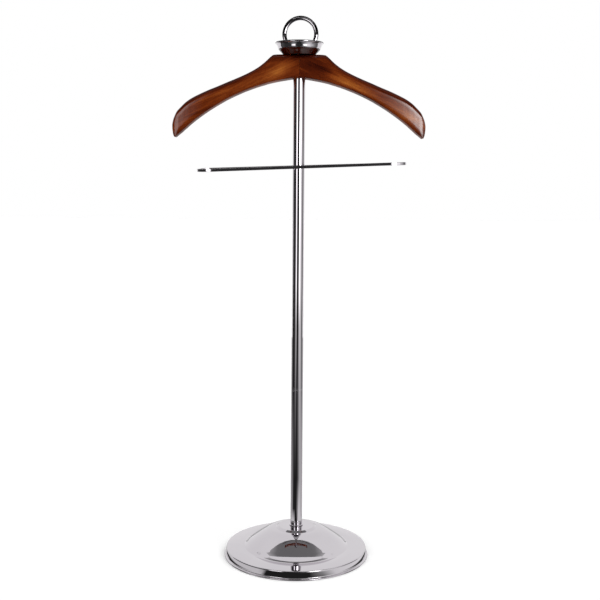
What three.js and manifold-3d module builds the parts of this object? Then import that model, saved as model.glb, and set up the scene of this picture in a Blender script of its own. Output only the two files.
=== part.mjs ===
import * as THREE from 'three';
import { mergeVertices } from 'three/addons/utils/BufferGeometryUtils.js';
import Module from 'manifold-3d';

// A valet stand in chromed steel and polished hardwood.
// A spun base hides a cast iron weight. A tube column stands on it in two lengths,
// with a trouser bar loop held between them, and carries a wooden coat hanger,
// a small dish in a wooden collar and an upright ring. Millimetres, +Z up, the floor at zero and
// the column's axis on the origin. The front of the stand faces -Y.

const wasm = await Module();
wasm.setup();

// Fits
const seatGap = 0.3;
const overrun = 2;

// Base
const padThickness = 2;
const padMargin = 6;
const lipRadius = 138;
const lipClearance = 1;
const lipHeight = 2.6;
const brimRadius = 134.4;
const brimHeight = 17;
const edgeRound = 2.2;
const grooveRadius = 101.5;
const grooveHeight = 20.2;
const plateauRadius = 36;
const plateauHeight = 57.6;
const plateauStep = 3;
const plateauRound = 1.4;
const coverSheet = 1.5;
const weightSideGap = 4.5;
const weightBossMargin = 12;

// Tie bolt under the base
const boltDiameter = 10;
const boltHeadWidth = 17;
const boltHeadHeight = 6.4;
const boltReach = 16;
const boltWasherMargin = 0.7;
const boltWasherThickness = 2;

// Column
const columnDiameter = 22;
const columnWall = 1.5;
const footHeight = 8.8;
const footFlange = 1.9;
const footFlangeHeight = 1.5;
const footSwell = 0.4;
const spigotLength = 26;
const plugLength = 24;
const studDiameter = 8;
const studReach = 18;

// Trouser bar
const barHeight = 743;
const barLength = 387;
const barDepth = 40;
const barBend = 32;
const barStripHeight = 5.4;
const barStripThickness = 3;
const barOffset = 5.4;
const barTilt = THREE.MathUtils.degToRad(2.2);
const bridgeThickness = 3;
const bridgeMargin = 3;

// Hanger
const hangerSpan = 465;
const hangerAboveBar = 161.2;
const hangerBlock = 40.6;
const hangerDrop = 108.2;
const hangerDepth = 44;
const hangerSweep = 6;
const hangerChamfer = 1.3;
const hangerRoundShare = 0.4;
const socketDepth = 16;
const dowelDiameter = 7;
const dowelLength = 40;
const hangerWasherThickness = 1.5;
const bushWall = 2.2;

// Dish and the wooden collar that it stands in
const collarFootRadius = 29;
const collarShoulderRadius = 37.1;
const collarShoulderHeight = 8.3;
const dishSeatRadius = 24;
const dishFlange = 2.2;
const dishCreaseRadius = 38.2;
const dishCreaseHeight = 10.2;
const dishNeckRadius = 40.6;
const dishLipRadius = 43.9;
const dishLipThickness = 5.1;
const dishHeight = 22.8;
const dishWall = 1.5;

// Ring
const ringDiameter = 66.4;
const ringRodDiameter = 8;
const ringLean = THREE.MathUtils.degToRad(2.5);
const ringTwist = THREE.MathUtils.degToRad(8);
const ringLift = 3.2;
const ringBossRadius = 8;
const bossSaddle = 2.6;

// Finishes
const chrome = { color: 0xd4d6da, roughness: 0.06, metalness: 1 };
const plainSteel = { color: 0x8f9296, roughness: 0.4, metalness: 1 };
const castIron = { color: 0x3a3c3e, roughness: 0.8, metalness: 0.6 };
const felt = { color: 0x1c1d1e, roughness: 0.95, metalness: 0 };
const polishedWood = { color: 0x6e2f16, roughness: 0.25, metalness: 0 };
const dowelWood = { color: 0xc9a271, roughness: 0.7, metalness: 0 };
const brass = { color: 0xb8954a, roughness: 0.35, metalness: 1 };

// Rounds of facets on turned pieces
const wideTurn = 48;
const dishTurn = 40;
const tubeTurn = 24;
const bendTurn = 48;
const ringTurn = 48;
const ringSides = 12;
const saddleSides = 16;

const columnRadius = columnDiameter / 2;
const boreRadius = columnRadius - columnWall;
const plugRadius = boreRadius - seatGap;
const studRadius = studDiameter / 2;
const studHole = studRadius + seatGap;
const boltRadius = boltDiameter / 2;
const boltHole = boltRadius + seatGap;
const boltHeadRadius = boltHeadWidth / Math.sqrt(3);
const boltWasherRadius = boltHeadRadius + boltWasherMargin;

// Heights of the joints along the column
const footTop = plateauHeight + seatGap + footHeight;
const bridgeRise = columnRadius * Math.tan(barTilt);
const jointGap = bridgeThickness / Math.cos(barTilt) + 2 * bridgeRise + 2 * seatGap;
const lowerTubeTop = barHeight - jointGap / 2;
const upperTubeBottom = barHeight + jointGap / 2;
const hangerUnderside = barHeight + hangerAboveBar;
const socketCeiling = hangerUnderside + socketDepth;
const washerTop = socketCeiling - seatGap;
const washerBottom = washerTop - hangerWasherThickness;
const upperTubeTop = washerBottom - seatGap;
const upperTubeLength = upperTubeTop - upperTubeBottom;
const crownHeight = hangerUnderside + hangerBlock;
const dishBottom = crownHeight + seatGap;
const dishFloor = dishBottom + dishWall;
const ringRadius = (ringDiameter - ringRodDiameter) / 2;
const ringFoot = dishFloor + ringLift;

// The two plugs in the upper tube share it where it is short, and the studs keep their
// share of a plug
const upperPlugLength = Math.min(plugLength, (upperTubeLength - seatGap) / 2);
const upperStudReach = studReach * (upperPlugLength / plugLength);

// The weight and the pad go in through the cover's mouth and stay inside its brim
const mouthRadius = Math.min(brimRadius, lipRadius) - coverSheet;

// Closed solids for joining and cutting
function toSolid(geometry) {
  const bare = geometry.clone();
  bare.deleteAttribute('normal');
  bare.deleteAttribute('uv');
  const merged = mergeVertices(bare);
  return new wasm.Manifold(new wasm.Mesh({
    numProp: 3,
    vertProperties: new Float32Array(merged.attributes.position.array),
    triVerts: new Uint32Array(merged.index.array),
  }));
}

function toGeometry(solid) {
  const mesh = solid.getMesh();
  const geometry = new THREE.BufferGeometry();
  geometry.setAttribute('position', new THREE.BufferAttribute(mesh.vertProperties, mesh.numProp));
  geometry.setIndex(new THREE.BufferAttribute(mesh.triVerts, 1));
  geometry.computeVertexNormals();
  return geometry;
}

function cutAway(geometry, ...cutters) {
  let solid = toSolid(geometry);
  for (const cutter of cutters) {
    solid = solid.subtract(toSolid(cutter));
  }
  return toGeometry(solid);
}

function makeMesh(name, geometry, finish) {
  const mesh = new THREE.Mesh(geometry, new THREE.MeshStandardMaterial(finish));
  mesh.name = name;
  return mesh;
}

// A turned piece about the Z axis, from [radius, height] points in order round its section
function turned(points, rounds) {
  let profile = points.map(([radius, height]) => new THREE.Vector2(radius, height));
  if (THREE.ShapeUtils.area(profile) < 0) {
    profile = profile.reverse();
  }
  const geometry = new THREE.LatheGeometry([...profile, profile[0]], rounds);
  geometry.rotateX(Math.PI / 2);
  return geometry;
}

// A plain turned sleeve between two heights
function sleeve(innerRadius, outerRadius, bottom, top, rounds = tubeTurn) {
  return turned([
    [innerRadius, bottom],
    [outerRadius, bottom],
    [outerRadius, top],
    [innerRadius, top],
  ], rounds);
}

// A solid round bar between two heights
function roundBar(radius, bottom, top, rounds = tubeTurn) {
  const geometry = new THREE.CylinderGeometry(radius, radius, top - bottom, rounds);
  geometry.rotateX(Math.PI / 2);
  geometry.translate(0, 0, (top + bottom) / 2);
  return geometry;
}

// The second face of a sheet, set in from the first by the sheet's thickness
function insetProfile(points, thickness) {
  return points.map(([radius, height], index) => {
    const before = points[Math.max(index - 1, 0)];
    const after = points[Math.min(index + 1, points.length - 1)];
    const along = new THREE.Vector2(after[0] - before[0], after[1] - before[1]).normalize();
    return [radius + along.y * thickness, height - along.x * thickness];
  });
}

// Base: a felt pad, the weight it is glued to, and the spun cover

// The dome falls from the plateau's foot to the groove: shares of that run and that fall
const domeShares = [
  [0.1, 0.974], [0.26, 0.867], [0.42, 0.702], [0.58, 0.506],
  [0.72, 0.327], [0.82, 0.196], [0.89, 0.104], [0.945, 0.039],
];

// The brim falls from the groove to the edge in the same way
const brimShares = [[0, 0], [0.11, 0.06], [0.33, 0.17], [0.63, 0.43], [0.87, 0.72]];

// The rim's wall, as shares of the way out from the edge to the lip and down between them
const wallShares = [[-0.1, 0.1], [0, 0.4], [0.2, 0.7], [0.55, 0.9], [1, 1]];

function coverOutline() {
  const stepRadius = plateauRadius + plateauRound;
  const stepHeight = plateauHeight - plateauStep;
  const domeStart = stepRadius + plateauRound;
  const outline = [
    [boltHole, plateauHeight],
    [plateauRadius - plateauRound, plateauHeight],
    [plateauRadius, plateauHeight - plateauRound / 2],
    [stepRadius, stepHeight + plateauRound / 2],
    [domeStart, stepHeight],
  ];
  for (const [runShare, heightShare] of domeShares) {
    outline.push([
      domeStart + (grooveRadius - domeStart) * runShare,
      grooveHeight + (stepHeight - grooveHeight) * heightShare,
    ]);
  }
  const brimEnd = brimRadius - edgeRound;
  for (const [runShare, fallShare] of brimShares) {
    outline.push([
      grooveRadius + (brimEnd - grooveRadius) * runShare,
      grooveHeight - (grooveHeight - brimHeight) * fallShare,
    ]);
  }
  const edgeFoot = brimHeight - 2 * edgeRound;
  outline.push([brimEnd, brimHeight]);
  outline.push([brimRadius - edgeRound / 4, brimHeight - edgeRound / 2]);
  outline.push([brimRadius, brimHeight - edgeRound]);
  for (const [outShare, downShare] of wallShares) {
    outline.push([
      brimRadius + (lipRadius - brimRadius) * outShare,
      edgeFoot + (lipHeight - edgeFoot) * downShare,
    ]);
  }
  return outline;
}

// The inner face follows every other point of the outer one, and the lip is a thicker hem
function baseCover() {
  const outer = coverOutline();
  const backbone = outer.filter((point, index) => index === 0 || index % 2 === 1);
  const inner = insetProfile(backbone, coverSheet).reverse();
  const lipFoot = [
    [lipRadius, lipClearance + coverSheet / 2],
    [lipRadius - coverSheet / 2, lipClearance],
    [lipRadius - coverSheet, lipClearance],
  ];
  return makeMesh('base_cover', turned([...outer, ...lipFoot, ...inner], wideTurn), chrome);
}

function baseWeight() {
  const bottom = padThickness + seatGap;
  const plateTop = brimHeight - coverSheet - seatGap;
  const bossTop = plateauHeight - coverSheet - seatGap;
  const plateRadius = mouthRadius - weightSideGap;
  const bossRadius = plateauRadius - weightBossMargin;
  const pocketRadius = boltWasherRadius + seatGap;
  const pocketTop = bottom + boltHeadHeight + boltWasherThickness + 2 * seatGap;
  return makeMesh('base_weight', turned([
    [boltHole, bossTop],
    [boltHole, pocketTop],
    [pocketRadius, pocketTop],
    [pocketRadius, bottom],
    [plateRadius, bottom],
    [plateRadius, plateTop],
    [bossRadius, plateTop],
    [bossRadius, bossTop],
  ], wideTurn), castIron);
}

function basePad() {
  const radius = mouthRadius - padMargin;
  return makeMesh('base_pad', roundBar(radius, 0, padThickness, wideTurn), felt);
}

// The tie bolt comes up through the weight and the cover into the column's foot
function tieBolt() {
  const headBottom = padThickness + seatGap;
  const headTop = headBottom + boltHeadHeight;
  const shankTop = footTop + boltReach;
  const head = new THREE.CylinderGeometry(boltHeadRadius, boltHeadRadius, boltHeadHeight, 6);
  head.rotateX(Math.PI / 2);
  head.translate(0, 0, (headBottom + headTop) / 2);
  const shank = roundBar(boltRadius, headTop - boltHeadHeight / 2, shankTop);
  const bolt = toGeometry(toSolid(head).add(toSolid(shank)));
  const washerFoot = headTop + seatGap;
  const washer = sleeve(boltHole, boltWasherRadius, washerFoot, washerFoot + boltWasherThickness);
  return [makeMesh('base_bolt', bolt, plainSteel), makeMesh('base_bolt_washer', washer, plainSteel)];
}

// Column

// The turned foot has a flange on the plateau, a short swelling and a spigot inside the tube
function columnFoot() {
  const bottom = plateauHeight + seatGap;
  return makeMesh('column_foot', turned([
    [boltHole, bottom],
    [columnRadius + footFlange, bottom],
    [columnRadius + footFlange, bottom + footFlangeHeight],
    [columnRadius + footSwell, bottom + footFlangeHeight],
    [columnRadius + footSwell, footTop - footSwell],
    [columnRadius, footTop],
    [plugRadius, footTop],
    [plugRadius, footTop + spigotLength],
    [boltHole, footTop + spigotLength],
  ], tubeTurn), chrome);
}

function columnPieces() {
  const lowerTube = sleeve(boreRadius, columnRadius, footTop + seatGap, lowerTubeTop);
  const upperTube = sleeve(boreRadius, columnRadius, upperTubeBottom, upperTubeTop);
  const lowerPlug = sleeve(studHole, plugRadius, lowerTubeTop - plugLength, lowerTubeTop);
  const jointPlugTop = upperTubeBottom + upperPlugLength;
  const jointPlug = sleeve(studHole, plugRadius, upperTubeBottom, jointPlugTop);
  const topPlug = sleeve(studHole, plugRadius, upperTubeTop - upperPlugLength, upperTubeTop);
  const studTop = upperTubeBottom + upperStudReach;
  const jointStud = roundBar(studRadius, lowerTubeTop - studReach, studTop);
  return [
    makeMesh('lower_tube', lowerTube, chrome),
    makeMesh('upper_tube', upperTube, chrome),
    makeMesh('lower_tube_plug', lowerPlug, plainSteel),
    makeMesh('upper_tube_bottom_plug', jointPlug, plainSteel),
    makeMesh('upper_tube_top_plug', topPlug, plainSteel),
    makeMesh('joint_stud', jointStud, plainSteel),
  ];
}

// Trouser bar: a flat strip on edge, bent to a long loop, and a bridge plate welded across it

const bendOuter = barDepth / 2;
const bendInner = bendOuter - barStripThickness;

function barLoop() {
  const halfHeight = barStripHeight / 2;
  const geometry = sleeve(bendInner, bendOuter, -halfHeight, halfHeight, bendTurn);
  geometry.rotateZ(Math.PI / bendTurn);
  // each half of the round ring is drawn out along the bar, and the two move apart and leave
  // straight sides between them
  const halfStraight = barLength / 2 - barBend;
  geometry.scale(barBend / bendOuter, 1, 1);
  const places = geometry.attributes.position;
  for (let index = 0; index < places.count; index += 1) {
    places.setX(index, places.getX(index) + Math.sign(places.getX(index)) * halfStraight);
  }
  geometry.translate(barOffset, 0, 0);
  return makeMesh('bar_loop', geometry, chrome);
}

function barBridge() {
  const length = 2 * (bendInner - seatGap);
  const width = columnDiameter + 2 * bridgeMargin;
  const plate = new THREE.BoxGeometry(width, length, bridgeThickness);
  const holeRadius = studHole + bridgeThickness * Math.tan(barTilt);
  const hole = roundBar(holeRadius, -bridgeThickness, bridgeThickness);
  return makeMesh('bar_bridge', cutAway(plate, hole), chrome);
}

function trouserBar() {
  const bar = new THREE.Group();
  bar.add(barLoop(), barBridge());
  bar.position.z = barHeight;
  bar.rotation.y = -barTilt;
  return bar;
}

// Hanger

// Each row is a section of one arm: its place along the arm as a share of half the span,
// how far the top has fallen as a share of the whole rise, how far the underside has fallen
// as a share of the drop, its depth as a share of the depth at the middle, and how far back
// it stands as a share of the sweep
const armShares = [
  [0, 0, 0, 1, 0],
  [0.06, 0, 0.014, 1, 0],
  [0.13, 0, 0.039, 1, 0],
  [0.18, 0.002, 0.059, 1, 0],
  [0.205, 0.008, 0.071, 1, 0],
  [0.215, 0.018, 0.076, 1, 0.002],
  [0.235, 0.044, 0.086, 0.998, 0.01],
  [0.26, 0.081, 0.102, 0.992, 0.03],
  [0.29, 0.12, 0.121, 0.984, 0.06],
  [0.323, 0.157, 0.143, 0.975, 0.095],
  [0.37, 0.2, 0.178, 0.96, 0.15],
  [0.43, 0.246, 0.227, 0.94, 0.225],
  [0.5, 0.293, 0.2925, 0.918, 0.315],
  [0.57, 0.337, 0.3655, 0.896, 0.405],
  [0.64, 0.383, 0.451, 0.874, 0.495],
  [0.71, 0.426, 0.5435, 0.852, 0.585],
  [0.78, 0.4745, 0.648, 0.83, 0.675],
  [0.84, 0.521, 0.746, 0.811, 0.755],
  [0.89, 0.5725, 0.839, 0.795, 0.825],
  [0.93, 0.631, 0.9155, 0.78, 0.88],
  [0.963, 0.6855, 0.972, 0.765, 0.93],
  [0.982, 0.742, 0.998, 0.73, 0.96],
  [0.9905, 0.772, 0.959, 0.68, 0.975],
  [0.9965, 0.8, 0.892, 0.6, 0.99],
  [1, 0.832, 0.843, 0.5, 1],
];

// One section of an arm: a crisp chamfer below and a wide rounding above
function armSection(halfDepth, bottom, top) {
  const roundSteps = 4;
  const round = Math.min(halfDepth * hangerRoundShare, (top - bottom) / 2);
  const chamfer = Math.min(hangerChamfer, (top - bottom) / 4);
  const side = [[halfDepth - chamfer, bottom], [halfDepth, bottom + chamfer]];
  for (let step = 0; step <= roundSteps; step += 1) {
    const angle = (Math.PI / 2) * (step / roundSteps);
    side.push([
      halfDepth - round + round * Math.cos(angle),
      top - round + round * Math.sin(angle),
    ]);
  }
  const otherSide = side.map(([across, height]) => [-across, height]).reverse();
  return [...side, ...otherSide];
}

// A closed skin over rings of points, one ring after another, with flat ends
function loft(rings) {
  const count = rings[0].length;
  const corners = [];
  for (let ring = 0; ring < rings.length - 1; ring += 1) {
    for (let point = 0; point < count; point += 1) {
      const next = (point + 1) % count;
      const [near, nearNext] = [rings[ring][point], rings[ring][next]];
      const [far, farNext] = [rings[ring + 1][point], rings[ring + 1][next]];
      corners.push(...near, ...far, ...farNext, ...near, ...farNext, ...nearNext);
    }
  }
  const [first, last] = [rings[0], rings[rings.length - 1]];
  for (let point = 1; point < count - 1; point += 1) {
    corners.push(...first[0], ...first[point], ...first[point + 1]);
    corners.push(...last[0], ...last[point + 1], ...last[point]);
  }
  const geometry = new THREE.BufferGeometry();
  geometry.setAttribute('position', new THREE.Float32BufferAttribute(corners, 3));
  return geometry;
}

function hangerArm(side) {
  const halfSpan = hangerSpan / 2;
  const rise = hangerBlock + hangerDrop;
  const rings = armShares.map(([alongShare, topShare, underShare, depthShare, sweepShare]) => {
    const along = Math.max(halfSpan * alongShare, seatGap / 2) * side;
    const top = crownHeight - rise * topShare;
    const bottom = hangerUnderside - hangerDrop * underShare;
    const section = armSection((hangerDepth / 2) * depthShare, bottom, top);
    return section.map(([across, height]) => [along, across + hangerSweep * sweepShare, height]);
  });
  return loft(side > 0 ? rings.reverse() : rings);
}

const bushBore = studHole;
const bushRadius = bushBore + bushWall;
const dowelRadius = dowelDiameter / 2;
const dowelHeight = (socketCeiling + crownHeight) / 2;
const dowelPlace = (bushRadius + seatGap + hangerDepth / 2) / 2;

function dowel(radius, length, place) {
  const geometry = new THREE.CylinderGeometry(radius, radius, length, 12);
  geometry.rotateZ(Math.PI / 2);
  geometry.translate(0, place, dowelHeight);
  return geometry;
}

// The two arms meet at the middle on two dowels, and turn on the tube's end and the bush
function hanger() {
  const socket = roundBar(columnRadius + seatGap, hangerUnderside - overrun, socketCeiling);
  const bore = roundBar(bushRadius + seatGap, hangerUnderside, crownHeight + overrun);
  const holeRadius = dowelRadius + seatGap;
  const holeLength = dowelLength + 2 * seatGap;
  const holes = [dowelPlace, -dowelPlace].map((place) => dowel(holeRadius, holeLength, place));
  return [
    makeMesh('hanger_left_arm', cutAway(hangerArm(-1), socket, bore, ...holes), polishedWood),
    makeMesh('hanger_right_arm', cutAway(hangerArm(1), socket, bore, ...holes), polishedWood),
    makeMesh('hanger_front_dowel', dowel(dowelRadius, dowelLength, -dowelPlace), dowelWood),
    makeMesh('hanger_back_dowel', dowel(dowelRadius, dowelLength, dowelPlace), dowelWood),
  ];
}

function hangerFittings() {
  const washerRadius = columnRadius - seatGap;
  const washer = sleeve(studHole, washerRadius, washerBottom, washerTop);
  const bush = sleeve(bushBore, bushRadius, socketCeiling, crownHeight);
  return [makeMesh('hanger_washer', washer, plainSteel), makeMesh('hanger_bush', bush, brass)];
}

// Dish: a foot sunk in the collar, a flange over it, a flaring wall and a thick rolled lip
function dish() {
  const lipTop = dishBottom + dishHeight;
  const lipMiddle = lipTop - dishLipThickness / 2;
  const lipFoot = lipTop - dishLipThickness;
  const lipWidth = dishLipRadius - dishNeckRadius;
  const crease = dishBottom + dishCreaseHeight;
  const flangeRadius = dishCreaseRadius - dishFlange;
  const halfwayRadius = (dishCreaseRadius + dishNeckRadius) / 2;
  const halfwayHeight = (crease + lipFoot) / 2;
  return makeMesh('dish', turned([
    [studHole, dishBottom],
    [dishSeatRadius, dishBottom],
    [flangeRadius, crease],
    [dishCreaseRadius, crease],
    [halfwayRadius, halfwayHeight],
    [dishNeckRadius, lipFoot],
    [dishLipRadius - lipWidth / 4, lipFoot + lipWidth / 8],
    [dishLipRadius, lipMiddle],
    [dishLipRadius - lipWidth / 8, lipTop - lipWidth / 8],
    [dishLipRadius - lipWidth / 2, lipTop],
    [dishNeckRadius, lipTop - lipWidth / 8],
    [dishNeckRadius - dishWall, lipFoot],
    [halfwayRadius - dishWall, halfwayHeight],
    [dishCreaseRadius - dishWall, crease + dishWall],
    [flangeRadius - dishWall / 2, crease + dishWall],
    [dishSeatRadius - dishWall / 2, dishFloor],
    [studHole, dishFloor],
  ], dishTurn), chrome);
}

// Collar: a turned ring of the hanger's wood between the hanger and the dish's flange
function dishCollar() {
  const top = dishBottom + dishCreaseHeight - seatGap;
  return makeMesh('dish_collar', turned([
    [dishSeatRadius + 2 * seatGap, dishBottom],
    [collarFootRadius, dishBottom],
    [collarShoulderRadius, dishBottom + collarShoulderHeight],
    [dishCreaseRadius, top],
    [dishCreaseRadius - dishFlange + seatGap, top],
  ], dishTurn), polishedWood);
}

// Ring: it leans and turns a little on its boss, and the boss and the stud are hollowed to
// take its rod
function leaningRing(rodWidth, rounds, sides) {
  const geometry = new THREE.TorusGeometry(ringRadius, rodWidth, sides, rounds);
  geometry.rotateX(Math.PI / 2);
  geometry.translate(0, 0, ringRadius + ringRodDiameter / 2);
  geometry.rotateZ(-ringTwist);
  geometry.rotateY(ringLean);
  geometry.translate(0, 0, ringFoot);
  return geometry;
}

function ringPieces() {
  const ringRod = ringRodDiameter / 2;
  const saddle = leaningRing(ringRod + seatGap, ringTurn, saddleSides);
  const bossTop = ringFoot + bossSaddle;
  const boss = sleeve(studHole, ringBossRadius, dishFloor + seatGap, bossTop);
  const stud = roundBar(studRadius, upperTubeTop - upperStudReach, bossTop);
  return [
    makeMesh('handle_ring', leaningRing(ringRod, ringTurn, ringSides), chrome),
    makeMesh('ring_boss', cutAway(boss, saddle), chrome),
    makeMesh('top_stud', cutAway(stud, saddle), plainSteel),
  ];
}

const stand = new THREE.Group();
stand.add(basePad(), baseWeight(), baseCover(), ...tieBolt());
stand.add(columnFoot(), ...columnPieces());
stand.add(trouserBar());
stand.add(...hanger(), ...hangerFittings());
stand.add(dishCollar(), dish(), ...ringPieces());

export default stand;
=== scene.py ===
from math import atan2, cos, degrees, hypot, pi, radians, sin

import bmesh
import bpy
from mathutils import Matrix, Vector
from mathutils.geometry import interpolate_bezier


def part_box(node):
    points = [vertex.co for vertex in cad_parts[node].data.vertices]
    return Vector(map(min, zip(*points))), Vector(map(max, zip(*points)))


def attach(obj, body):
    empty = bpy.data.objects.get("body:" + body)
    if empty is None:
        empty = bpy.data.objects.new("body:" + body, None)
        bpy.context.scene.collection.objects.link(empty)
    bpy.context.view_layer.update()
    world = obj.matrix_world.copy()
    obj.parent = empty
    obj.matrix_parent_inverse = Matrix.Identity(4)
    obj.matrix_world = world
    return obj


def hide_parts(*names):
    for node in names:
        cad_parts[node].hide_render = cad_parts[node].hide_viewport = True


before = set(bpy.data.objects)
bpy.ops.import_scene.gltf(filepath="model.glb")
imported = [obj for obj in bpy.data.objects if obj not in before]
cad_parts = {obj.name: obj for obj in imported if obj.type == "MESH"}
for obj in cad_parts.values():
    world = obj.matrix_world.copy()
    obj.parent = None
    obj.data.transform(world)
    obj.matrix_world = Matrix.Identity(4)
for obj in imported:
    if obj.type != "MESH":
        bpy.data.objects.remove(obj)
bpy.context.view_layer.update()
scene = bpy.context.scene
mm = 0.001
print("frame loaded")


# the camera stands in front, level with the trouser bar (metres and degrees)
cameraSet = {
    "lens": 60.93, "sensor": 36.0, "clip": (0.05, 60),
    "distance": 1.893, "height": 0.7335,
    "azimuth": 0.0, "pitch": 7.176, "yaw": 0.13, "roll": 0.41,
}


def makeCamera(look):
    data = bpy.data.cameras.new("camera")
    data.lens, data.sensor_width = look["lens"], look["sensor"]
    data.clip_start, data.clip_end = look["clip"]
    camera = bpy.data.objects.new("camera", data)
    scene.collection.objects.link(camera)
    turn = radians(look["azimuth"])
    place = Vector((sin(turn), -cos(turn), 0)) * look["distance"]
    place.z = look["height"]
    camera.matrix_world = (
        Matrix.Translation(place)
        @ Matrix.Rotation(turn - radians(look["yaw"]), 4, "Z")
        @ Matrix.Rotation(radians(90 - look["pitch"]), 4, "X")
        @ Matrix.Rotation(radians(look["roll"]), 4, "Z")
    )
    scene.camera = camera


makeCamera(cameraSet)
print("camera placed")


# helpers for materials

def newMaterial(name):
    material = bpy.data.materials.new(name)
    material.use_nodes = True
    tree = material.node_tree
    return material, tree, tree.nodes["Principled BSDF"]


# adds a node; sockets are given by name or number, and a value may be another node's output
def addNode(tree, kind, sockets=None, **settings):
    node = tree.nodes.new(kind)
    for key, value in settings.items():
        setattr(node, key, value)
    for key, value in (sockets or {}).items():
        if isinstance(value, bpy.types.NodeSocket):
            tree.links.new(value, node.inputs[key])
        else:
            node.inputs[key].default_value = value
    return node


def setShader(shader, values):
    for key, value in values.items():
        shader.inputs[key].default_value = value


# where on the object a pattern is
def addPlace(tree):
    return addNode(tree, "ShaderNodeTexCoord").outputs["Object"]


# each stop is a place from 0 to 1 and a colour
def addRamp(tree, factor, stops):
    node = addNode(tree, "ShaderNodeValToRGB", {"Fac": factor})
    ramp = node.color_ramp
    for index, (place, color) in enumerate(stops):
        stop = ramp.elements[index] if index < 2 else ramp.elements.new(place)
        stop.position = place
        stop.color = (*color, 1)
    return node.outputs["Color"]


def addNoise(tree, vector, scale, detail=3.0, roughness=0.5, distortion=0.0):
    node = addNode(tree, "ShaderNodeTexNoise", {
        "Vector": vector, "Scale": scale, "Detail": detail,
        "Roughness": roughness, "Distortion": distortion,
    })
    return node.outputs["Fac"]


def addRange(tree, value, low, high, fromLow=0.3, fromHigh=0.7):
    node = addNode(tree, "ShaderNodeMapRange", {
        "Value": value, "From Min": fromLow, "From Max": fromHigh, "To Min": low, "To Max": high,
    })
    return node.outputs["Result"]


def addMath(tree, operation, first, second):
    node = addNode(tree, "ShaderNodeMath", {0: first, 1: second}, operation=operation)
    return node.outputs["Value"]


def addMapping(tree, vector, location=(0, 0, 0), turn=(0, 0, 0), scale=(1, 1, 1), kind="POINT"):
    node = addNode(tree, "ShaderNodeMapping", {
        "Vector": vector, "Location": location,
        "Rotation": [radians(angle) for angle in turn], "Scale": scale,
    }, vector_type=kind)
    return node.outputs["Vector"]


def addAttribute(tree, name):
    return addNode(tree, "ShaderNodeAttribute", attribute_name=name).outputs["Fac"]


def addBump(tree, shader, height, strength, distance):
    node = addNode(tree, "ShaderNodeBump", {
        "Height": height, "Strength": strength, "Distance": distance,
    })
    tree.links.new(node.outputs["Normal"], shader.inputs["Normal"])


def paint(tree, shader, factor, tones):
    tree.links.new(addRamp(tree, factor, tones), shader.inputs["Base Color"])


def roughen(tree, shader, factor, limits):
    tree.links.new(addRange(tree, factor, *limits), shader.inputs["Roughness"])


# Metals. A noise is given by its scale, detail, roughness and distortion, as far as they differ
# from the usual, and a bump by its strength and its distance in metres.
metalLooks = {
    "chrome": {
        "tones": [(0.35, (0.563, 0.535, 0.568)), (0.65, (0.6, 0.572, 0.602))],
        "cloud": (9.0, 4), "smear": (60.0, 2), "roughness": (0.025, 0.05),
        "bump": (0.04, 0.00006),
    },
    "plainSteel": {
        "tones": [(0.35, (0.33, 0.33, 0.34)), (0.65, (0.47, 0.47, 0.48))],
        "cloud": (140.0, 4), "smear": (900.0, 2), "roughness": (0.3, 0.5),
        "bump": (0.25, 0.0001),
    },
    "brass": {
        "tones": [(0.35, (0.52, 0.34, 0.12)), (0.65, (0.68, 0.48, 0.2))],
        "cloud": (160.0, 4), "smear": (900.0, 2), "roughness": (0.25, 0.42),
        "bump": (0.2, 0.00008),
    },
}


def makeMetal(name):
    look = metalLooks[name]
    material, tree, shader = newMaterial(name)
    place = addPlace(tree)
    cloud = addNoise(tree, place, *look["cloud"])
    smear = addNoise(tree, place, *look["smear"])
    paint(tree, shader, cloud, look["tones"])
    roughen(tree, shader, smear, look["roughness"])
    addBump(tree, shader, cloud, *look["bump"])
    setShader(shader, {"Metallic": 1.0})
    return material


chrome = makeMetal("chrome")
plainSteel = makeMetal("plainSteel")
brass = makeMetal("brass")


# the black finishes under the base
castIronLook = {
    "tones": [(0.3, (0.012, 0.012, 0.013)), (0.7, (0.045, 0.045, 0.047))],
    "grain": (420.0, 6, 0.65), "roughness": (0.5, 0.8), "bump": (0.6, 0.0004),
}
feltLook = {
    "tones": [(0.35, (0.006, 0.006, 0.007)), (0.65, (0.03, 0.03, 0.032))],
    "fibre": (1500.0, 8, 0.7, 1.2), "bump": (0.8, 0.0003),
    "shader": {"Roughness": 0.95, "Sheen Weight": 0.4, "Sheen Roughness": 0.5},
}


def makeCastIron(look):
    material, tree, shader = newMaterial("castIron")
    grain = addNoise(tree, addPlace(tree), *look["grain"])
    paint(tree, shader, grain, look["tones"])
    roughen(tree, shader, grain, look["roughness"])
    addBump(tree, shader, grain, *look["bump"])
    return material


def makeFelt(look):
    material, tree, shader = newMaterial("felt")
    fibre = addNoise(tree, addPlace(tree), *look["fibre"])
    paint(tree, shader, fibre, look["tones"])
    addBump(tree, shader, fibre, *look["bump"])
    setShader(shader, look["shader"])
    return material


castIron = makeCastIron(castIronLook)
felt = makeFelt(feltLook)


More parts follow.
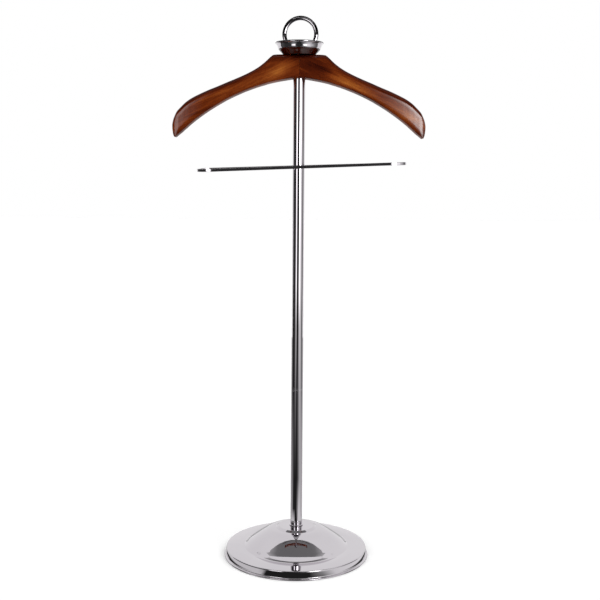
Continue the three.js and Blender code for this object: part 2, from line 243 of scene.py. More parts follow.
# Wood. Its tone runs from 0, dark, to 1, light. Each layer of grain is a noise stretched along
# the arm, and adds to the tone from its first value to its second.
woodTones = [
    (0.0, (0.03, 0.0028, 0.0004)),
    (0.26, (0.075, 0.0095, 0.0012)),
    (0.48, (0.15, 0.025, 0.0032)),
    (0.7, (0.25, 0.058, 0.009)),
    (1.0, (0.46, 0.15, 0.026)),
]
woodGrain = {
    "bands": {"scale": (10, 70, 95), "noise": (1, 3, 0.55, 0.6), "adds": (-0.14, 0.14)},
    "streaks": {"scale": (32, 380, 460), "noise": (1, 4, 0.6, 0.3), "adds": (-0.1, 0.1)},
    "pores": {"scale": (150, 2400, 2600), "noise": (1, 2, 0.5), "adds": (-0.03, 0.02)},
}
woodFinish = {
    # the second value is how far painted shade darkens the wood's tone
    "figureFull": 0.8, "shadeAmount": 0.36, "roughness": (0.38, 0.5), "bump": (0.05, 0.00005),
    "shader": {"Specular IOR Level": 0.0, "Coat Roughness": 0.03, "Coat IOR": 1.5},
}

# Each figure is a soft patch of lighter or darker wood: its middle, its reach along and
# across, its slope and how much it adds to the tone. Millimetres and degrees.
leftWoodLook = {
    "grainSlope": 24.0, "tone": 0.47,
    "figures": [
        {"x": -36, "z": 914, "along": 40, "across": 16, "slope": 32, "adds": 0.4},
        {"x": -72, "z": 897, "along": 60, "across": 18, "slope": 22, "adds": 0.1},
        {"x": -138, "z": 858, "along": 26, "across": 9, "slope": 27, "adds": 0.14},
        {"x": -190, "z": 846, "along": 60, "across": 26, "slope": 32, "adds": -0.04},
        {"x": -14, "z": 938, "along": 46, "across": 13, "slope": 0, "adds": -0.14},
    ],
}
rightWoodLook = {
    "grainSlope": -24.0, "tone": 0.42,
    "figures": [
        {"x": 24, "z": 921, "along": 42, "across": 24, "slope": -4, "adds": -0.24},
        {"x": 46, "z": 916, "along": 18, "across": 24, "slope": 60, "adds": -0.12},
        {"x": 95, "z": 892.5, "along": 58, "across": 11, "slope": -25, "adds": 0.42},
        {"x": 74, "z": 893, "along": 40, "across": 14, "slope": -20, "adds": 0.08},
        {"x": 112, "z": 871, "along": 44, "across": 8, "slope": -26, "adds": -0.16},
        {"x": 150, "z": 866, "along": 46, "across": 11, "slope": -27, "adds": 0.08},
        {"x": 202, "z": 833, "along": 54, "across": 26, "slope": -36, "adds": 0.24},
    ],
}
dowelLook = {
    "tones": [(0.3, (0.4, 0.24, 0.11)), (0.7, (0.62, 0.43, 0.24))],
    "scale": (60, 900, 900), "noise": (1, 4, 0.6), "bump": (0.3, 0.0002),
    "shader": {"Roughness": 0.7},
}


def addGrain(tree, vector, layer):
    return addNoise(tree, addMapping(tree, vector, scale=layer["scale"]), *layer["noise"])


def addFigure(tree, place, figure):
    near = addMapping(
        tree, place, kind="TEXTURE", turn=(0, -figure["slope"], 0),
        location=(figure["x"] * mm, 0, figure["z"] * mm),
        scale=(figure["along"] * mm, 1, figure["across"] * mm))
    glow = addNode(tree, "ShaderNodeTexGradient", {"Vector": near}, gradient_type="SPHERICAL")
    return addRange(tree, glow.outputs["Fac"], 0, figure["adds"], 0, woodFinish["figureFull"])


# an attribute of the mesh darkens the tone with painted shade, and gloss is where the lacquer
# shines
def makeWood(name, look):
    material, tree, shader = newMaterial(name)
    place = addPlace(tree)
    straight = addMapping(tree, place, turn=(0, look["grainSlope"], 0))
    grains = {kind: addGrain(tree, straight, layer) for kind, layer in woodGrain.items()}
    tone = look["tone"]
    for kind, layer in woodGrain.items():
        tone = addMath(tree, "ADD", tone, addRange(tree, grains[kind], *layer["adds"]))
    for figure in look["figures"]:
        tone = addMath(tree, "ADD", tone, addFigure(tree, place, figure))
    # painted shade from the mesh's attribute is taken off the tone
    shadeAmount = addMath(tree, "MULTIPLY", addAttribute(tree, "paintedShade"), woodFinish["shadeAmount"])
    paint(tree, shader, addMath(tree, "SUBTRACT", tone, shadeAmount), woodTones)
    roughen(tree, shader, grains["streaks"], woodFinish["roughness"])
    tree.links.new(addAttribute(tree, "gloss"), shader.inputs["Coat Weight"])
    addBump(tree, shader, grains["streaks"], *woodFinish["bump"])
    setShader(shader, woodFinish["shader"])
    return material


def makeDowelWood(look):
    material, tree, shader = newMaterial("dowelWood")
    streaks = addGrain(tree, addPlace(tree), look)
    paint(tree, shader, streaks, look["tones"])
    addBump(tree, shader, streaks, *look["bump"])
    setShader(shader, look["shader"])
    return material


leftWood = makeWood("leftWood", leftWoodLook)
rightWood = makeWood("rightWood", rightWoodLook)
dowelWood = makeDowelWood(dowelLook)
print("materials made")


# helpers for shapes

samePoint = 1e-7  # metres: points closer than this are one
holdFrom = 2.6  # millimetres: a straight stroke longer than this is held flat
holdAt = 0.9  # millimetres from its end to the knot that holds it


# a knot is a distance from the column's axis and a height, in millimetres
def asPoint(knot):
    return Vector((knot[0] * mm, 0, knot[1] * mm))


# a smooth line through the knots, with some steps between each two
def flowLine(knots, steps):
    knots = [asPoint(knot) for knot in knots]
    line = []
    for index, (here, there) in enumerate(zip(knots, knots[1:])):
        before = knots[max(index - 1, 0)]
        after = knots[min(index + 2, len(knots) - 1)]
        reach = (there - here).length / 3
        line += interpolate_bezier(
            here, here + (there - before).normalized() * reach,
            there - (after - here).normalized() * reach, there, steps + 1)[:-1]
    return line + [knots[-1]]


# a straight stroke, with a knot close to each end that keeps its long face flat
def straightLine(stroke):
    start, end = (asPoint(knot) for knot in stroke)
    length = (end - start).length
    if length < holdFrom * mm:
        return [start, end]
    near = (end - start) * (holdAt * mm / length)
    return [start, start + near, end - near, end]


# the edges of a closed ring of points
def joinRound(bm, verts):
    return [bm.edges.new((vert, verts[(index + 1) % len(verts)]))
            for index, vert in enumerate(verts)]


# strokes of knots, joined end to end and closed, as one wire outline
def addOutline(bm, strokes, steps):
    points = []
    for stroke in strokes:
        line = flowLine(stroke, steps) if len(stroke) > 2 else straightLine(stroke)
        for point in line:
            if not points or (point - points[-1]).length > samePoint:
                points.append(point)
    if (points[0] - points[-1]).length < samePoint:
        points.pop()
    joinRound(bm, [bm.verts.new(point) for point in points])


def spinOutline(bm, rounds, axis=(0, 0, 1)):
    bmesh.ops.spin(
        bm, geom=bm.verts[:] + bm.edges[:], cent=(0, 0, 0), axis=axis,
        angle=2 * pi, steps=rounds, use_merge=True)
    bmesh.ops.remove_doubles(bm, verts=bm.verts, dist=samePoint)
    bmesh.ops.recalc_face_normals(bm, faces=bm.faces)


# rounds off every edge that is sharper than the angle
def softenEdges(bm, width, segments=3, angle=35):
    sharp = [edge for edge in bm.edges
             if len(edge.link_faces) == 2 and edge.calc_face_angle() > radians(angle)]
    bmesh.ops.bevel(
        bm, geom=sharp, offset=width * mm, offset_type="OFFSET", segments=segments,
        profile=0.5, affect="EDGES", material=-1, clamp_overlap=True)


# makes the shape an object that rides on a body and replaces CAD nodes
def finishPiece(name, bm, body, slotName, material, *nodes, sharpAngle=40):
    mesh = bpy.data.meshes.new(name)
    bm.to_mesh(mesh)
    bm.free()
    mesh.shade_smooth()
    mesh.set_sharp_from_angle(angle=radians(sharpAngle))
    mesh.materials.append(material)
    piece = bpy.data.objects.new(name, mesh)
    scene.collection.objects.link(piece)
    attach(piece, body)
    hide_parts(*nodes)
    return piece


def turnPiece(name, strokes, rounds, steps, body, slotName, material, *nodes, soften=0):
    bm = bmesh.new()
    addOutline(bm, strokes, steps)
    spinOutline(bm, rounds)
    if soften:
        softenEdges(bm, soften)
    finishPiece(name, bm, body, slotName, material, *nodes)


# the base: a spun cover and the felt under it, in millimetres
baseCover = {
    "rounds": 180, "steps": 4,
    "plateau": [(5.3, 57.6), (33.6, 57.6)],
    "step": [(33.6, 57.6), (33.95, 57.52), (34.3, 57.3), (36.4, 55.8), (38.4, 54.36),
             (38.9, 54.08), (39.6, 53.95)],
    "dome": [(39.6, 53.95), (45, 53.3), (50, 52.15), (55, 50.15), (60, 47.4), (65.5, 44.05),
             (70, 41.15), (75, 37.8), (80, 34.35), (85, 30.8), (89, 27.95), (91.5, 25.95),
             (93.3, 24.35), (95, 22.8), (96.5, 21.5), (98, 20.37), (99.2, 19.62),
             (100.2, 19.36), (103, 19.35), (112, 19.3), (122, 18.6), (128, 18.05),
             (131.6, 17.65)],
    "edge": [(131.6, 17.65), (132.8, 17.4), (133.7, 16.85), (134.2, 16.0), (134.4, 14.9)],
    "wall": [(134.4, 14.9), (134.35, 12.0), (134.35, 8.0), (134.4, 5.6), (134.7, 4.5),
             (135.5, 3.85)],
    "lip": [(135.5, 3.85), (136.5, 3.55), (137.4, 3.1), (137.9, 2.4), (137.85, 1.7),
            (137.3, 1.15), (136.5, 1.0), (135.7, 1.3), (135.2, 2.2)],
    "inside": [(135.2, 2.2), (134.2, 3.6), (133.4, 5.2), (132.95, 8), (132.85, 11),
               (132.8, 13.4), (131.6, 15.4), (128, 16.5), (122, 17.05), (112, 17.75),
               (103, 17.85), (100.4, 17.9), (98.7, 18.35), (97.5, 19.05), (95.7, 20.35),
               (94.0, 21.75), (92.3, 23.3), (90.5, 24.85), (88.0, 26.75), (84.1, 29.5),
               (79.1, 33.1), (74.1, 36.55), (69.1, 39.9), (64.7, 42.75), (59.2, 46.1),
               (54.3, 48.75), (49.5, 50.65), (44.6, 51.8), (39.3, 52.45), (38.1, 52.65),
               (37.4, 53.15), (35.4, 54.6), (33.9, 55.7), (33.5, 55.95), (33.0, 56.1)],
    "underPlateau": [(33.0, 56.1), (5.3, 56.1)],
    "hole": [(5.3, 56.1), (5.3, 57.6)],
}


def makeBaseCover(look):
    parts = ("plateau", "step", "dome", "edge", "wall", "lip", "inside", "underPlateau", "hole")
    turnPiece("baseCover", [look[part] for part in parts], look["rounds"], look["steps"],
              "stand", "chrome", chrome, "base_cover")


basePad = {
    "rounds": 96, "steps": 3, "middle": 0.6,
    "outline": [
        [(0.5, 0.02), (126.2, 0.02)],
        [(126.2, 0.02), (126.75, 0.3), (126.9, 1.0), (126.75, 1.7), (126.2, 1.98)],
        [(126.2, 1.98), (0.5, 1.98)],
        [(0.5, 1.98), (0.5, 0.02)],
    ],
}


def makeBasePad(look):
    bm = bmesh.new()
    addOutline(bm, look["outline"], look["steps"])
    spinOutline(bm, look["rounds"])
    # the small hole left at the middle is filled above and below
    reach = look["middle"] * mm
    inner = [face for face in bm.faces
             if all(hypot(vert.co.x, vert.co.y) < reach for vert in face.verts)]
    bmesh.ops.delete(bm, geom=inner, context="FACES")
    bmesh.ops.holes_fill(bm, edges=[edge for edge in bm.edges if edge.is_boundary])
    bmesh.ops.recalc_face_normals(bm, faces=bm.faces)
    finishPiece("basePad", bm, "stand", "felt", felt, "base_pad")


makeBaseCover(baseCover)
makeBasePad(basePad)
print("base made")


# the column: a foot and two tubes, which are as long as the CAD's
columnSet = {"rounds": 72, "radius": 11.0, "bore": 9.5, "soften": 0.25}
columnFoot = {
    "rounds": 96, "steps": 4,
    "outline": [
        [(5.3, 57.9), (12.0, 57.9)],
        [(12.0, 57.9), (12.6, 58.05), (12.88, 58.55), (12.88, 59.1), (12.6, 59.6),
         (12.0, 59.82), (11.5, 59.95), (11.4, 60.4)],
        [(11.4, 60.4), (11.4, 65.7)],
        [(11.4, 65.7), (11.36, 66.15), (11.2, 66.5), (10.9, 66.7)],
        [(10.9, 66.7), (9.2, 66.7)],
        [(9.2, 66.7), (9.2, 92.7)],
        [(9.2, 92.7), (5.3, 92.7)],
        [(5.3, 92.7), (5.3, 57.9)],
    ],
}


def makeTube(name, node, look):
    low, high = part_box(node)
    bottom, top = low.z / mm, high.z / mm
    outer, inner = look["radius"], look["bore"]
    strokes = [
        [(inner, bottom), (outer, bottom)], [(outer, bottom), (outer, top)],
        [(outer, top), (inner, top)], [(inner, top), (inner, bottom)],
    ]
    turnPiece(name, strokes, look["rounds"], 1, "stand", "chrome", chrome, node,
              soften=look["soften"])


turnPiece("columnFoot", columnFoot["outline"], columnFoot["rounds"], columnFoot["steps"],
          "stand", "chrome", chrome, "column_foot")
makeTube("lowerTube", "lower_tube", columnSet)
makeTube("upperTube", "upper_tube", columnSet)
print("column made")


# the trouser bar: a flat strip on edge, bent to a long loop
barLoop = {
    "height": 743.0, "length": 387.0, "depth": 40.0, "bend": 32.0,
    "stripHeight": 5.4, "stripThickness": 3.0, "offset": 5.4, "tilt": 2.2,
    "twist": 2.4, "twistFrom": 130.0, "twistOver": 230.0, "rounds": 128, "soften": 0.5,
}


# the real loop is a little warped: its back side stands higher towards the left end
def twistBar(bm, look):
    for vert in bm.verts:
        share = min(1.0, max(0.0, (look["twistFrom"] * mm - vert.co.x) / (look["twistOver"] * mm)))
        vert.co.z += look["twist"] * mm * share * vert.co.y / (look["depth"] * mm)


def makeBarLoop(look):
    outer = look["depth"] / 2
    inner = outer - look["stripThickness"]
    high = look["stripHeight"] / 2
    bm = bmesh.new()
    addOutline(bm, [
        [(inner, -high), (outer, -high)], [(outer, -high), (outer, high)],
        [(outer, high), (inner, high)], [(inner, high), (inner, -high)],
    ], 1)
    # turned half a step, so that no point lies where the halves part
    bmesh.ops.rotate(bm, verts=bm.verts, cent=(0, 0, 0),
                     matrix=Matrix.Rotation(pi / look["rounds"], 3, "Z"))
    spinOutline(bm, look["rounds"])
    softenEdges(bm, look["soften"])
    # the bends are drawn out, then the halves move apart and leave the straight sides
    bmesh.ops.scale(bm, verts=bm.verts, vec=(look["bend"] / outer, 1, 1))
    move = (look["length"] / 2 - look["bend"]) * mm
    for side in (-1, 1):
        bend = [vert for vert in bm.verts if vert.co.x * side > 0]
        bmesh.ops.translate(bm, verts=bend, vec=(side * move, 0, 0))
    twistBar(bm, look)
    place = (
        Matrix.Translation((0, 0, look["height"] * mm))
        @ Matrix.Rotation(-radians(look["tilt"]), 4, "Y")
        @ Matrix.Translation((look["offset"] * mm, 0, 0))
    )
    bmesh.ops.transform(bm, matrix=place, verts=bm.verts)
    finishPiece("trouserBarLoop", bm, "trouser_bar", "chrome", chrome, "bar_loop")


makeBarLoop(barLoop)
print("trouser bar made")


# The hanger. Along its section painted shade darkens the tone by shares: below, on the small
# round, at its end, at two shares of the flat face's height, and over the crown, from its start by
# its gain.
hanger = {
    "span": 465.0, "crown": 944.8, "underside": 904.2, "rise": 148.8, "drop": 108.2,
    "depth": 44.0, "sweep": 6.0, "seam": 0.15,
    "crownRound": 8.8, "crownLimit": 0.9, "crownSteps": 8,
    "underRound": 1.3, "underLimit": 0.2, "underSteps": 3,
    "steps": 4, "sharpAngle": 50,
    "socket": 11.3, "socketCeiling": 920.2, "socketSides": 96, "socketPast": 10,
    "dull": 0.2, "glossy": 1.0,
    # painted shade: darkest over the crown's rounding and under the arm
    "shadeAmount": {"below": 0.35, "round": 0.5, "end": 0.25, "face": [(0.3, 0.0), (0.8, 0.05)],
              "crown": 0.2, "crownGain": 1.6},
}

# rows of place along an arm, fall of the top, fall of the underside, depth and sweep,
# as shares of half the span, the rise, the drop, the depth and the sweep
armShares = [
    (0, 0, 0, 1, 0), (0.06, 0, 0.014, 1, 0), (0.13, 0, 0.039, 1, 0),
    (0.18, 0.002, 0.059, 1, 0), (0.205, 0.008, 0.071, 1, 0), (0.215, 0.018, 0.076, 1, 0.002),
    (0.235, 0.044, 0.086, 0.998, 0.01), (0.26, 0.081, 0.102, 0.992, 0.03),
    (0.29, 0.12, 0.121, 0.984, 0.06), (0.323, 0.157, 0.143, 0.975, 0.095),
    (0.37, 0.2, 0.178, 0.96, 0.15), (0.43, 0.246, 0.227, 0.94, 0.225),
    (0.5, 0.293, 0.2925, 0.918, 0.315), (0.57, 0.337, 0.3655, 0.896, 0.405),
    (0.64, 0.383, 0.451, 0.874, 0.495), (0.71, 0.426, 0.5435, 0.852, 0.585),
    (0.78, 0.4745, 0.648, 0.83, 0.675), (0.84, 0.521, 0.746, 0.811, 0.755),
    (0.89, 0.5725, 0.839, 0.795, 0.825), (0.93, 0.631, 0.9155, 0.78, 0.88),
    (0.963, 0.6855, 0.972, 0.765, 0.93), (0.982, 0.742, 0.998, 0.73, 0.96),
    (0.9905, 0.772, 0.959, 0.68, 0.975), (0.9965, 0.8, 0.892, 0.6, 0.99),
    (1, 0.832, 0.843, 0.5, 1),
]


# the rows with smooth steps between them
def fineRows(rows, steps):
    lines = [flowLine([(row[0], row[column]) for row in rows], steps)
             for column in range(1, len(rows[0]))]
    return [(points[0].x / mm, *[point.z / mm for point in points]) for points in zip(*lines)]


# half of one section, from the underside to the crown's middle: each point's distance from the
# middle, its height, its share of painted shade and its gloss
def armHalf(halfDepth, bottom, top, look):
    shadeAmount, dull, glossy = look["shadeAmount"], look["dull"], look["glossy"]
    wide = min(look["crownRound"], (top - bottom) / 2, halfDepth * look["crownLimit"])
    small = min(look["underRound"], (top - bottom) * look["underLimit"])
    corner, face = halfDepth - small, top - wide - bottom - small
    side = [(corner, bottom, shadeAmount["below"], dull)]
    for step in range(1, look["underSteps"] + 1):
        angle = pi / 2 * step / look["underSteps"]
        atEnd = step == look["underSteps"]
        side.append((corner + small * sin(angle), bottom + small - small * cos(angle),
                     shadeAmount["end"] if atEnd else shadeAmount["round"], glossy if atEnd else dull))
    for share, shadeThere in shadeAmount["face"]:
        side.append((halfDepth, bottom + small + face * share, shadeThere, glossy))
    for step in range(look["crownSteps"] + 1):
        share = step / look["crownSteps"]
        angle = pi / 2 * share
        side.append((halfDepth - wide + wide * cos(angle), top - wide + wide * sin(angle),
                     min(1.0, shadeAmount["crown"] + shadeAmount["crownGain"] * share), glossy))
    return side


def makeArm(name, node, side, material, look):
    bm = bmesh.new()
    paintedShade = bm.verts.layers.float.new("paintedShade")
    gloss = bm.verts.layers.float.new("gloss")
    loops = []
    for along, topFall, underFall, depth, sweep in fineRows(armShares, look["steps"]):
        top = look["crown"] - look["rise"] * topFall
        bottom = look["underside"] - look["drop"] * underFall
        half = armHalf(look["depth"] / 2 * depth, bottom, top, look)
        x = max(along * look["span"] / 2, look["seam"]) * side
        middle = sweep * look["sweep"]
        ring = []
        for sign, points in ((-1, half), (1, half[::-1])):
            for across, height, shadeAmount, shine in points:
                vert = bm.verts.new((x * mm, (middle + sign * across) * mm, height * mm))
                # each point takes its share of painted shade and its gloss
                vert[paintedShade], vert[gloss] = shadeAmount, shine
                ring.append(vert)
        loops.append(joinRound(bm, ring))
    for near, far in zip(loops, loops[1:]):
        bmesh.ops.bridge_loops(bm, edges=near + far)
    for ends in (loops[0], loops[-1]):
        bmesh.ops.contextual_create(bm, geom=ends)
    bmesh.ops.recalc_face_normals(bm, faces=bm.faces)
    arm = finishPiece(name, bm, "hanger", "polished_wood", material, node,
                      sharpAngle=look["sharpAngle"])
    cutSocket(arm, look)


# the round socket that takes the column's end, cut from below
def cutSocket(arm, look):
    bm = bmesh.new()
    bottom, top = look["underside"] - look["socketPast"], look["socketCeiling"]
    radius = look["socket"] * mm
    bmesh.ops.create_cone(
        bm, cap_ends=True, segments=look["socketSides"], radius1=radius, radius2=radius,
        depth=(top - bottom) * mm, matrix=Matrix.Translation((0, 0, (bottom + top) / 2 * mm)))
    mesh = bpy.data.meshes.new("socketCutter")
    bm.to_mesh(mesh)
    bm.free()
    cutter = bpy.data.objects.new("socketCutter", mesh)
    scene.collection.objects.link(cutter)
    cut = arm.modifiers.new("socket", "BOOLEAN")
    cut.operation, cut.solver, cut.object = "DIFFERENCE", "EXACT", cutter
    bpy.context.view_layer.update()
    view = bpy.context.evaluated_depsgraph_get()
    shaped = bpy.data.meshes.new_from_object(arm.evaluated_get(view))
    arm.modifiers.clear()
    arm.data = shaped
    bpy.data.objects.remove(cutter)


makeArm("leftArm", "hanger_left_arm", -1, leftWood, hanger)
makeArm("rightArm", "hanger_right_arm", 1, rightWood, hanger)
print("hanger made")


# the dish, with its heights from its bottom
dish = {
    "rounds": 128, "steps": 4, "bottom": 945.1,
    "foot": [(4.3, 0), (23.5, 0)],
    "cone": [(23.5, 0), (24.3, 0.35), (30, 5.15), (35.4, 9.7), (36.2, 10.2)],
    "flange": [(36.2, 10.2), (38.0, 10.2)],
    "wall": [(38.0, 10.2), (38.4, 10.45), (38.8, 11.4), (39.25, 12.6), (39.5, 13.7),
             (40.0, 15.5), (40.8, 17.6), (41.4, 19.0)],
    "lip": [(41.4, 19.0), (42.2, 19.35), (43.2, 19.8), (43.85, 20.7), (43.8, 21.7),
            (43.15, 22.45), (42.0, 22.75), (40.8, 22.5), (40.1, 21.7), (39.7, 20.6)],
    "inside": [(39.7, 20.6), (39.3, 18.3), (38.55, 15.5), (37.7, 13.2), (36.6, 11.9),
               (34.9, 11.2), (29.4, 6.6), (24.6, 2.5), (23.6, 1.8), (22.4, 1.5)],
    "floor": [(22.4, 1.5), (4.3, 1.5)],
    "bore": [(4.3, 1.5), (4.3, 0)],
}


def makeDish(look):
    strokes = []
    for part in ("foot", "cone", "flange", "wall", "lip", "inside", "floor", "bore"):
        strokes.append([(radius, look["bottom"] + height) for radius, height in look[part]])
    turnPiece("dish", strokes, look["rounds"], look["steps"], "stand", "chrome", chrome, "dish")


# the turned wooden collar round the dish's foot
dishCollar = {
    # the whole collar takes heavy painted shade, as its faces look down
    "rounds": 128, "steps": 4, "shadeAmount": 2.0, "gloss": 1.0,
    "outline": [
        [(24.7, 944.87), (28.6, 944.87)],
        [(28.6, 944.87), (29.2, 945.05), (30.2, 946.1), (31.9, 948.05), (33.8, 950.05),
         (35.6, 951.85), (37.05, 953.45), (37.85, 954.6), (38.0, 954.95), (37.7, 955.15)],
        [(37.7, 955.15), (36.6, 955.15)],
        [(36.6, 955.15), (24.7, 944.87)],
    ],
}


def makeDishCollar(look):
    bm = bmesh.new()
    paintedShade = bm.verts.layers.float.new("paintedShade")
    gloss = bm.verts.layers.float.new("gloss")
    addOutline(bm, look["outline"], look["steps"])
    spinOutline(bm, look["rounds"])
    for vert in bm.verts:
        # every point takes the collar's painted shade and its gloss
        vert[paintedShade], vert[gloss] = look["shadeAmount"], look["gloss"]
    finishPiece("dishCollar", bm, "stand", "polished_wood", rightWood, "dish_collar")


handleRing = {
    "diameter": 66.3, "rod": 8.0, "lean": 2.5, "twist": 8.0, "foot": 949.0,
    "rounds": 144, "sides": 32,
}


def makeRing(look):
    rod = look["rod"] / 2
    radius = look["diameter"] / 2 - rod
    bm = bmesh.new()
    bmesh.ops.create_circle(bm, cap_ends=False, segments=look["sides"], radius=rod * mm,
                            matrix=Matrix.Translation((radius * mm, 0, 0)))
    spinOutline(bm, look["rounds"], axis=(0, 1, 0))
    place = (
        Matrix.Translation((0, 0, look["foot"] * mm))
        @ Matrix.Rotation(radians(look["lean"]), 4, "Y")
        @ Matrix.Rotation(-radians(look["twist"]), 4, "Z")
        @ Matrix.Translation((0, 0, (radius + rod) * mm))
    )
    bmesh.ops.transform(bm, matrix=place, verts=bm.verts)
    finishPiece("handleRing", bm, "stand", "chrome", chrome, "handle_ring")


ringBoss = {
    "rounds": 64, "steps": 3,
    "outline": [
        [(4.3, 946.9), (8.0, 946.9)], [(8.0, 946.9), (8.0, 951.4)],
        [(8.0, 951.4), (7.85, 952.05), (7.2, 952.4)],
        [(7.2, 952.4), (4.3, 952.4)], [(4.3, 952.4), (4.3, 946.9)],
    ],
}

makeDish(dish)
makeDishCollar(dishCollar)
makeRing(handleRing)
turnPiece("ringBoss", ringBoss["outline"], ringBoss["rounds"], ringBoss["steps"],
          "stand", "chrome", chrome, "ring_boss")
print("dish and ring made")


# the CAD pieces that keep their own shape
keptFinishes = {
    "base_weight": castIron, "base_bolt": plainSteel, "base_bolt_washer": plainSteel,
    "lower_tube_plug": plainSteel, "upper_tube_bottom_plug": plainSteel,
    "upper_tube_top_plug": plainSteel, "joint_stud": plainSteel, "top_stud": plainSteel,
    "hanger_washer": plainSteel, "hanger_bush": brass, "bar_bridge": chrome,
    "hanger_front_dowel": dowelWood, "hanger_back_dowel": dowelWood,
}
for node, material in keptFinishes.items():
    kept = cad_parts[node]
    if kept.material_slots:
        kept.material_slots[0].material = material
    else:
        kept.data.materials.append(material)
print("fittings finished")


# The studio, as the chrome mirrors it: pairs of degrees round from the camera and a level, for
# some heights of the wall in metres. Two light banks stand left and right of a dark gap.
fullBanks = [
    (-115, 0.04), (-103, 0.1), (-80, 0.04), (-44, 0.04), (-41.5, 2.6), (-25, 2.8), (-23, 1.3),
    (-21, 0.5), (-19, 0.04), (14, 0.04), (16.5, 0.3), (18.5, 0.9), (19.5, 1.6), (20.5, 2.6),
    (22.5, 6.0), (24.5, 10.0), (38, 11.0), (41, 1.4), (58, 1.3), (62, 0.8), (72, 0.7), (85, 0.35),
    (98, 0.17), (112, 0.15),
]
middleBanks = [
    (-115, 0.04), (-103, 0.1), (-80, 0.04), (-44, 0.04), (-41, 1.4), (-25, 2.4), (-23, 1.3),
    (-21, 0.5), (-19, 0.04), (14, 0.04), (17, 0.2), (20, 0.9), (23, 2.0), (25, 3.0), (38, 3.0),
    (41, 1.4), (58, 1.1), (62, 0.8), (72, 0.7), (85, 0.35), (98, 0.17), (112, 0.15),
]
lowBanks = [
    (-115, 0.03), (-75, 0.03), (-50, 0.05), (-44, 0.2), (-36, 0.5), (-28, 0.9), (-22, 0.9),
    (-19, 0.1), (-15, 0.02), (14, 0.02), (20, 0.3), (25, 0.7), (32, 0.95), (48, 1.0), (64, 0.8),
    (75, 0.3), (93, 0.2), (112, 0.15),
]
wallFoot = [
    (-115, 0.05), (-104, 0.05), (-76, 0.01), (-53, 0.06), (-32, 0.3), (-12, 0.03), (8, 0.03),
    (28, 0.35), (48, 0.76), (71, 0.6), (98, 0.15), (112, 0.15),
]
darkWall = [(-115, 1.0), (-108, 0.8), (-104, 0.04), (103, 0.04), (107, 0.8), (112, 1.0)]
darkMiddle = [(-115, 1.0), (-76, 1.0), (-62, 0.04), (62, 0.04), (76, 1.0), (112, 1.0)]
sky = [(-115, 1.0), (-19, 1.0), (-17, 0.04), (13, 0.04), (15, 1.0), (112, 1.0)]
wallLevels = {
    0.001: wallFoot, 0.22: lowBanks, 0.36: middleBanks, 0.6: middleBanks, 0.8: fullBanks,
    1.07: fullBanks, 1.16: darkWall, 1.28: darkWall, 1.36: darkMiddle, 2.4: darkMiddle,
    2.5: sky, 4.5: sky,
}
# the same for the floor, first close to the base, at some distances from the column in metres
# close to the base the floor is dark all round but for the banks' glints: a painted contact shadow
nearFloor = [(-115, 0.02), (-42, 0.03), (-34, 0.8), (-28, 0.02), (12, 0.02), (20, 0.8),
             (36, 0.9), (44, 0.04), (112, 0.02)]
floorLevels = {
    0.138: nearFloor, 0.1445: nearFloor,
    0.148: [(-115, 0.9), (-32, 0.8), (-28, 0.02), (12, 0.02), (25, 0.25), (37, 0.9),
            (45, 1.0), (112, 1.0)],
    0.2: [(-115, 0.9), (-36, 0.8), (-32, 0.02), (13, 0.02), (20, 0.4), (30, 0.9), (112, 0.9)],
    0.28: [(-115, 0.5), (-90, 0.45), (-75, 0.1), (-60, 0.02), (0, 0.02), (8, 0.2), (28, 0.45),
           (49, 1.0), (72, 0.85), (98, 0.65), (112, 0.65)],
    0.5: [(-115, 0.37), (-84, 0.25), (-60, 0.02), (0, 0.02), (22, 0.07), (42, 0.31),
          (64, 0.65), (112, 0.65)],
    1.5: wallFoot,
}
studio = {
    "wallRadius": 1.5, "wallFrom": -115, "wallTo": 112, "floorLift": 0.0004,
    "ceiling": {"z": 1.06, "front": -0.235, "frontBow": 0.19, "back": 0.13, "backBow": 0.14,
                "half": 0.8, "sideSteps": 8, "deepSteps": 4,
                "level": 0.2, "edge": 0.6, "edgeFrom": 0.6, "turnsDark": (0.2, 0.36)},
    "hood": {"top": 1.045, "radius": 0.05, "sides": 24, "level": 0.01, "skirt": 0.11,
             "skirtHalf": 0.37, "skirtLevels": {0.972: 0.35, 0.99: 0.02, 1.06: 0.02}},
    "strip": {"ahead": 0.06, "half": 0.05, "low": 1.046, "high": 1.058, "level": 1.6},
    "backFloor": {"rings": (0.138, 0.1405, 0.1425, 2.6), "steps": 48, "left": 0.42,
                  "right": 0.62, "reach": 0.3, "dark": 0.02, "darkTo": 0.1415},
    "floorTones": [(0.3, (0.796, 0.796, 0.796)), (0.7, (0.8, 0.8, 0.8))],
    "floorMottle": 2.0, "floorGlow": 0.24, "floorSize": 14.0, "floorCells": 4,
    "worldColor": (1, 1, 1, 1), "worldLight": 0.45, "worldSeen": 1.0,
    "suns": [
        {"name": "keySun", "strength": 1.5, "azimuth": 52, "elevation": 48, "spread": 38},
        {"name": "fillSun", "strength": 1.05, "azimuth": -40, "elevation": 38, "spread": 50},
    ],
}


# a white seen by the camera and in reflections, on top of what the light itself gives
def addSeen(tree):
    path = addNode(tree, "ShaderNodeLightPath").outputs
    seen = addMath(tree, "ADD", path["Is Camera Ray"], path["Is Glossy Ray"])
    return addMath(tree, "ADD", seen, path["Is Transmission Ray"])


def makeWorld(look):
    world = bpy.data.worlds.new("studioWorld")
    scene.world = world
    world.use_nodes = True
    tree = world.node_tree
    tree.nodes.clear()
    lighting, white = (
        addNode(tree, "ShaderNodeBackground", {
            "Color": look["worldColor"], "Strength": look[key]}).outputs[0]
        for key in ("worldLight", "worldSeen"))
    mixed = addNode(tree, "ShaderNodeMixShader", {0: addSeen(tree), 1: lighting, 2: white})
    addNode(tree, "ShaderNodeOutputWorld", {"Surface": mixed.outputs[0]})


